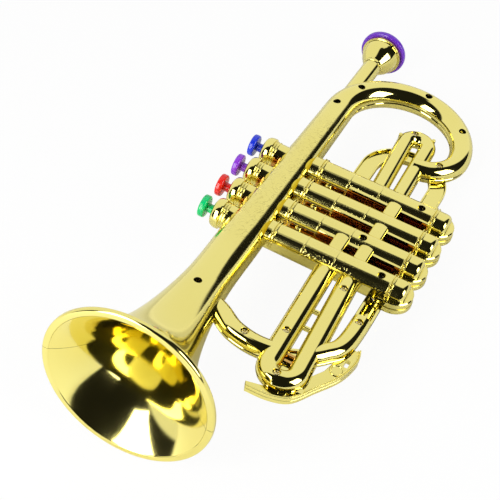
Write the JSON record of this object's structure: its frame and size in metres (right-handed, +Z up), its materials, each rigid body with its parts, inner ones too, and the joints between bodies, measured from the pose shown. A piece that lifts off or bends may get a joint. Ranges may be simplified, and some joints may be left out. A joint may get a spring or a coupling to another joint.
{
  "type": "toy trumpet",
  "caption": "Toy trumpet with a flared bell, curled tubing, sprung press buttons over valve casings and a ringed cup mouthpiece, moulded as screwed half shells in mirror gold.",
  "frame": {"origin": "centre of the bounding box at its bottom, on the surface that the trumpet lies on", "axes": "+X from the bell towards the mouthpiece, +Y towards the buttons, +Z up. The trumpet lies on its side on the bell rim, the mouthpiece ring and the curl, so its own axes are turned by a pitch of about 6 degrees and a roll of about 10 degrees."},
  "size_m": [0.3692, 0.158, 0.1043],
  "materials": {
    "gold_plastic": "vacuum-metallised pale gold, mirror-like",
    "button_green": "glossy moulded colour",
    "button_red": "glossy moulded colour",
    "button_purple": "glossy moulded colour",
    "button_blue": "glossy moulded colour",
    "ring_plastic": "glossy moulded colour",
    "steel": "zinc plated",
    "reed_brass": "rolled sheet",
    "reed_box_plastic": "plain moulded",
    "rubber_pad": "matt"
  },
  "bodies": {
    "root": {"bell_front": "gold_plastic", "horn_tube_front": "gold_plastic", "curl_front": "gold_plastic", "valve_block_front": "gold_plastic", "lower_slide_front": "gold_plastic", "upper_slide_front": "gold_plastic", "main_loop_near_front": "gold_plastic", "bell_rear": "gold_plastic", "horn_tube_rear": "gold_plastic", "curl_rear": "gold_plastic", "valve_block_rear": "gold_plastic", "lower_slide_rear": "gold_plastic", "upper_slide_rear": "gold_plastic", "main_loop_near_rear": "gold_plastic", "main_loop_far_front": "gold_plastic", "main_loop_far_rear": "gold_plastic", "upper_loop_near_rear": "gold_plastic", "upper_loop_far_rear": "gold_plastic", "hook_plate": "gold_plastic", "mouthpiece": "gold_plastic", "mouthpiece_ring": "ring_plastic", "reed_box": "reed_box_plastic", "port_plate": "reed_box_plastic", "valve_cap_1": "gold_plastic", "spring_1": "steel", "reed_1": "reed_brass", "valve_cap_2": "gold_plastic", "spring_2": "steel", "reed_2": "reed_brass", "valve_cap_3": "gold_plastic", "spring_3": "steel", "reed_3": "reed_brass", "valve_cap_4": "gold_plastic", "spring_4": "steel", "reed_4": "reed_brass", "screw_1": "steel", "screw_2": "steel", "screw_3": "steel", "screw_4": "steel", "screw_5": "steel", "screw_6": "steel", "screw_7": "steel", "screw_8": "steel", "screw_9": "steel", "screw_10": "steel", "screw_11": "steel", "screw_12": "steel"},
    "green_button": {"button_green": "button_green", "pad_1": "rubber_pad"},
    "red_button": {"button_red": "button_red", "pad_2": "rubber_pad"},
    "purple_button": {"button_purple": "button_purple", "pad_3": "rubber_pad"},
    "blue_button": {"button_blue": "button_blue", "pad_4": "rubber_pad"}
  },
  "joints": [
    {"name": "green_press", "type": "slide", "parent": "root", "child": "green_button", "axis": [-0.0176, -0.9845, -0.1744], "range_m": [0, 0.0038], "stiffness_N_per_m": 200, "springref_m": -0.003, "deforming": ["spring_1"]},
    {"name": "red_press", "type": "slide", "parent": "root", "child": "red_button", "axis": [-0.0176, -0.9845, -0.1744], "range_m": [0, 0.0038], "stiffness_N_per_m": 200, "springref_m": -0.003, "deforming": ["spring_2"]},
    {"name": "purple_press", "type": "slide", "parent": "root", "child": "purple_button", "axis": [-0.0176, -0.9845, -0.1744], "range_m": [0, 0.0038], "stiffness_N_per_m": 200, "springref_m": -0.003, "deforming": ["spring_3"]},
    {"name": "blue_press", "type": "slide", "parent": "root", "child": "blue_button", "axis": [-0.0176, -0.9845, -0.1744], "range_m": [0, 0.0038], "stiffness_N_per_m": 200, "springref_m": -0.003, "deforming": ["spring_4"]}
  ]
}
